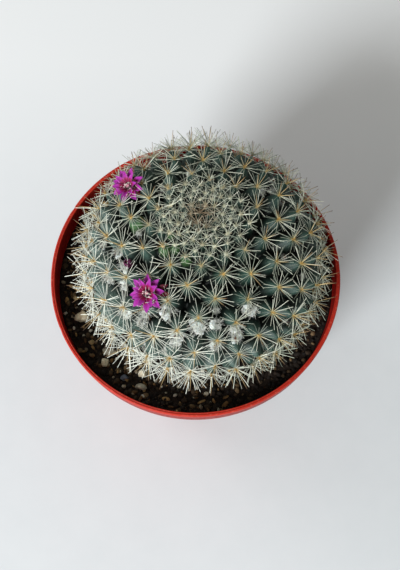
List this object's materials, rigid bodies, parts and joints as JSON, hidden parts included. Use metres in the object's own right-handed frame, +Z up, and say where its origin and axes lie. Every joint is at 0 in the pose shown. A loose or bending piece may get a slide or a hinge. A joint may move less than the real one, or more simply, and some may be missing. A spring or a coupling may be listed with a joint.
{
  "type": "potted round cactus",
  "caption": "Flattened-round cactus with spiral rows of spined tubercles, two open flowers and a bud, in a tapered plastic pot of soil with loose stones.",
  "frame": {"origin": "on the pot's axis, at the surface the pot stands on", "axes": "+Z up, out of the pot; -Y towards the viewer of the picture; +X to the viewer's right"},
  "size_m": [0.12, 0.12, 0.1388],
  "materials": {
    "pot_plastic": "satin moulded",
    "potting_mix": "coarse, damp, matt",
    "cactus_skin": "waxy satin skin",
    "root_bark": "dry fibrous",
    "bud": "soft satin",
    "flower_tube": "soft satin",
    "tepals": "silky petal",
    "stamens": "matt, powdery",
    "stigma": "matt",
    "cream_stone": "dry, worn",
    "tan_stone": "dry, worn",
    "grey_stone": "dry, worn",
    "slate_stone": "dry, worn"
  },
  "bodies": {
    "root": {"flower_bud": "bud", "flower_lower_inner_tepal_1": "tepals", "flower_lower_inner_tepal_2": "tepals", "flower_lower_inner_tepal_3": "tepals", "flower_lower_inner_tepal_4": "tepals", "flower_lower_inner_tepal_5": "tepals", "flower_lower_inner_tepal_6": "tepals", "flower_lower_inner_tepal_7": "tepals", "flower_lower_inner_tepal_8": "tepals", "flower_lower_outer_tepal_1": "tepals", "flower_lower_outer_tepal_2": "tepals", "flower_lower_outer_tepal_3": "tepals", "flower_lower_outer_tepal_4": "tepals", "flower_lower_outer_tepal_5": "tepals", "flower_lower_outer_tepal_6": "tepals", "flower_lower_outer_tepal_7": "tepals", "flower_lower_outer_tepal_8": "tepals", "flower_lower_stamens": "stamens", "flower_lower_stigma": "stigma", "flower_lower_tube": "flower_tube", "flower_upper_inner_tepal_1": "tepals", "flower_upper_inner_tepal_2": "tepals", "flower_upper_inner_tepal_3": "tepals", "flower_upper_inner_tepal_4": "tepals", "flower_upper_inner_tepal_5": "tepals", "flower_upper_inner_tepal_6": "tepals", "flower_upper_inner_tepal_7": "tepals", "flower_upper_inner_tepal_8": "tepals", "flower_upper_outer_tepal_1": "tepals", "flower_upper_outer_tepal_2": "tepals", "flower_upper_outer_tepal_3": "tepals", "flower_upper_outer_tepal_4": "tepals", "flower_upper_outer_tepal_5": "tepals", "flower_upper_outer_tepal_6": "tepals", "flower_upper_outer_tepal_7": "tepals", "flower_upper_outer_tepal_8": "tepals", "flower_upper_stamens": "stamens", "flower_upper_stigma": "stigma", "flower_upper_tube": "flower_tube", "pot": "pot_plastic", "roots": "root_bark", "soil": "potting_mix", "stem": "cactus_skin", "stone_cream_large": "cream_stone", "stone_flat_grey": "grey_stone", "stone_oval_grey": "grey_stone", "stone_round_cream": "cream_stone", "stone_slate": "slate_stone", "stone_tan_long": "tan_stone", "stone_tan_small": "tan_stone", "stone_wedge_cream": "cream_stone"}
  },
  "joints": []
}
